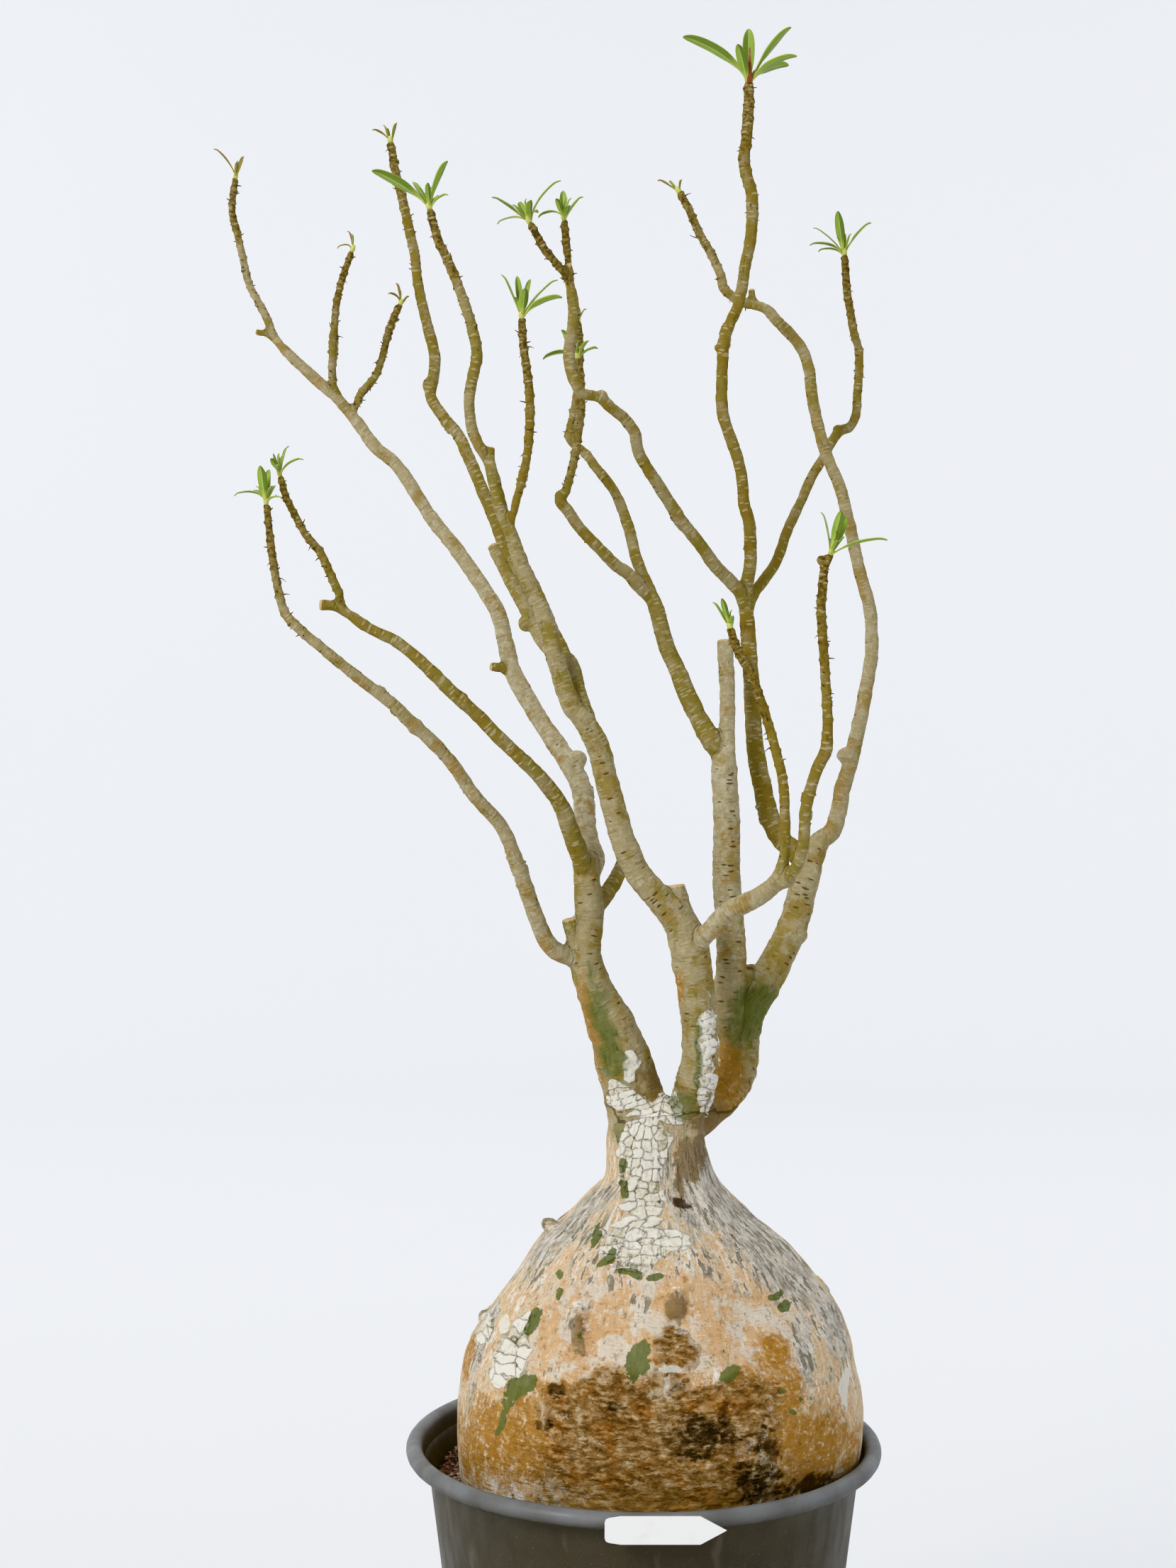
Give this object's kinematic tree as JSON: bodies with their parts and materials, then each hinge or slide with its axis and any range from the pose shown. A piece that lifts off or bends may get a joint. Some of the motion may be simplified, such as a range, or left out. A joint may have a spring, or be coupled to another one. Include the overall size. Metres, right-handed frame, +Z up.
{
  "type": "potted desert rose",
  "caption": "Desert rose (adenium) with a swollen base, bare branching stems and leaf tufts at the tips, in a round nursery pot with a blank plant tag.",
  "frame": {"origin": "middle of the pot's foot, on the surface that the pot stands on", "axes": "+Z up, +X to the right and +Y away from the viewer, who sees the plant tag on the front of the rim"},
  "size_m": [0.4406, 0.3011, 1.1777],
  "materials": {
    "pot_plastic": "matte",
    "potting_mix": "matte",
    "label_plastic": "satin",
    "caudex_bark": "matte",
    "stem_bark": "matte",
    "leaf_green": "satin"
  },
  "bodies": {
    "root": {"pot": "pot_plastic", "soil": "potting_mix", "label": "label_plastic", "caudex": "caudex_bark", "stem_left": "stem_bark", "stem_middle": "stem_bark", "stem_right": "stem_bark", "tuft_01": "leaf_green", "tuft_02": "leaf_green", "tuft_03": "leaf_green", "tuft_04": "leaf_green", "tuft_05": "leaf_green", "tuft_06": "leaf_green", "tuft_07": "leaf_green", "tuft_08": "leaf_green", "tuft_09": "leaf_green", "tuft_10": "leaf_green", "tuft_11": "leaf_green", "tuft_12": "leaf_green", "tuft_13": "leaf_green", "tuft_14": "leaf_green", "tuft_15": "leaf_green", "tuft_16": "leaf_green", "tuft_17": "leaf_green"}
  },
  "joints": []
}
